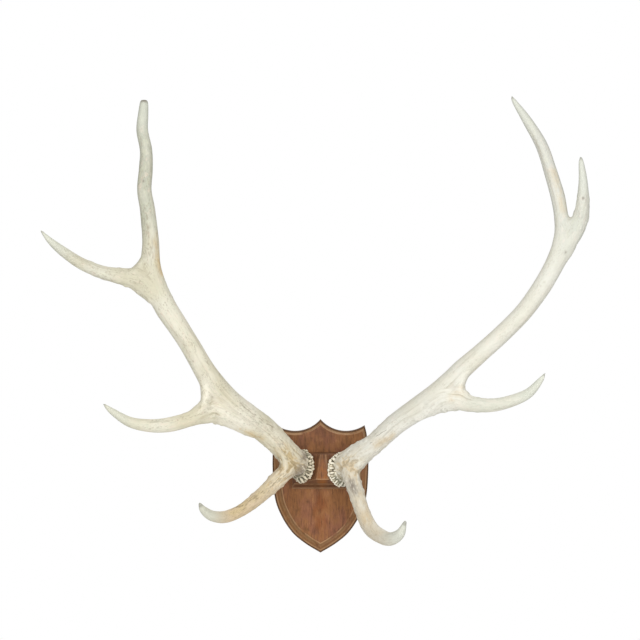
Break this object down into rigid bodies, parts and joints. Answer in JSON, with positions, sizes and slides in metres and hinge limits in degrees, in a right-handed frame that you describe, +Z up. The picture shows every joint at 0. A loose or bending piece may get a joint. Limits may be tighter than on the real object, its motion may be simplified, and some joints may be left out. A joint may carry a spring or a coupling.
{
  "type": "mounted deer antlers",
  "caption": "Pair of branched deer antlers with knobbly burrs, fixed to a wedge block on a heraldic wooden shield, for hanging on a wall.",
  "frame": {"origin": "middle of the shield's flat back, in the plane of the wall", "axes": "+Z up the wall, +X to the right seen from the front, +Y into the wall, so the antlers reach out along -Y"},
  "size_m": [0.9061, 0.3478, 0.8057],
  "materials": {
    "shield_wood": "waxed red-brown hardwood, worn pale on its edges",
    "block_wood": "waxed brown hardwood, worn pale on its edges",
    "left_antler": "dry, matt antler bone, ivory with tan and grey stains",
    "right_antler": "dry, matt antler bone, pale ivory"
  },
  "bodies": {
    "root": {"shield": "shield_wood", "mounting_block": "block_wood", "left_lower_beam": "left_antler", "left_upper_beam": "left_antler", "left_inner_top_tine": "left_antler", "left_outer_top_tine": "left_antler", "left_tray_tine": "left_antler", "left_brow_tine": "left_antler", "right_lower_beam": "right_antler", "right_upper_beam": "right_antler", "right_inner_top_tine": "right_antler", "right_outer_top_tine": "right_antler", "right_tray_tine": "right_antler", "right_brow_tine": "right_antler"}
  },
  "joints": []
}
